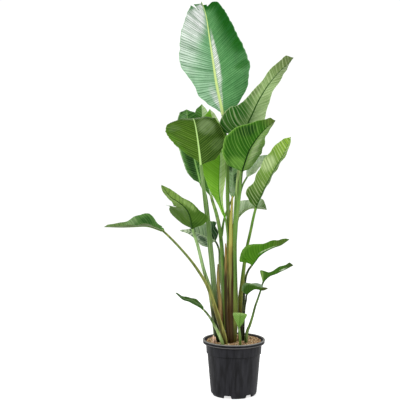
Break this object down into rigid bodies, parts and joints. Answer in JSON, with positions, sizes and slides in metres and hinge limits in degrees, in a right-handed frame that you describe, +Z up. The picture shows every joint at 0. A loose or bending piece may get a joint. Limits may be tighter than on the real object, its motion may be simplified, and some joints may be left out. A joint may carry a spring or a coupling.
{
  "type": "potted bird of paradise",
  "caption": "Tall potted bird of paradise plant: a fan of broad waved paddle leaves on long upright stalks, standing in soil in a round tapered black nursery pot.",
  "frame": {"origin": "middle of the flat underside of the pot, on the floor", "axes": "+Z up the plant, -Y towards the viewer of its best side, +X to that viewer's right; the fan of leaves lies mostly along X"},
  "size_m": [0.8821, 0.3646, 1.8822],
  "materials": {
    "leaf": "satin",
    "stalk": "satin",
    "dried": "matte",
    "pot": "satin",
    "soil": "matte"
  },
  "bodies": {
    "root": {"leaf_top_blade": "leaf", "leaf_upper_right_blade": "leaf", "leaf_middle_left_blade": "leaf", "leaf_middle_right_blade": "leaf", "leaf_back_right_small_blade": "leaf", "leaf_long_right_blade": "leaf", "leaf_far_left_blade": "leaf", "leaf_back_left_blade": "leaf", "leaf_back_upper_blade": "leaf", "leaf_young_upright_blade": "leaf", "leaf_back_middle_blade": "leaf", "leaf_low_back_right_blade": "leaf", "leaf_folded_left_blade": "leaf", "leaf_back_low_left_blade": "leaf", "leaf_lowest_left_blade": "leaf", "leaf_paddle_right_blade": "leaf", "leaf_small_right_upper_blade": "leaf", "leaf_small_right_lower_blade": "leaf", "leaf_seedling_front_blade": "leaf", "leaf_far_left_stalk": "stalk", "leaf_back_low_left_stalk": "stalk", "leaf_lowest_left_stalk": "stalk", "leaf_small_right_upper_stalk": "stalk", "leaf_seedling_front_stalk": "stalk", "main_shoot_stalks": "stalk", "left_shoot_stalks": "stalk", "right_shoot_stalks": "stalk", "dried_sheath": "dried", "pot": "pot", "soil": "soil"}
  },
  "joints": []
}
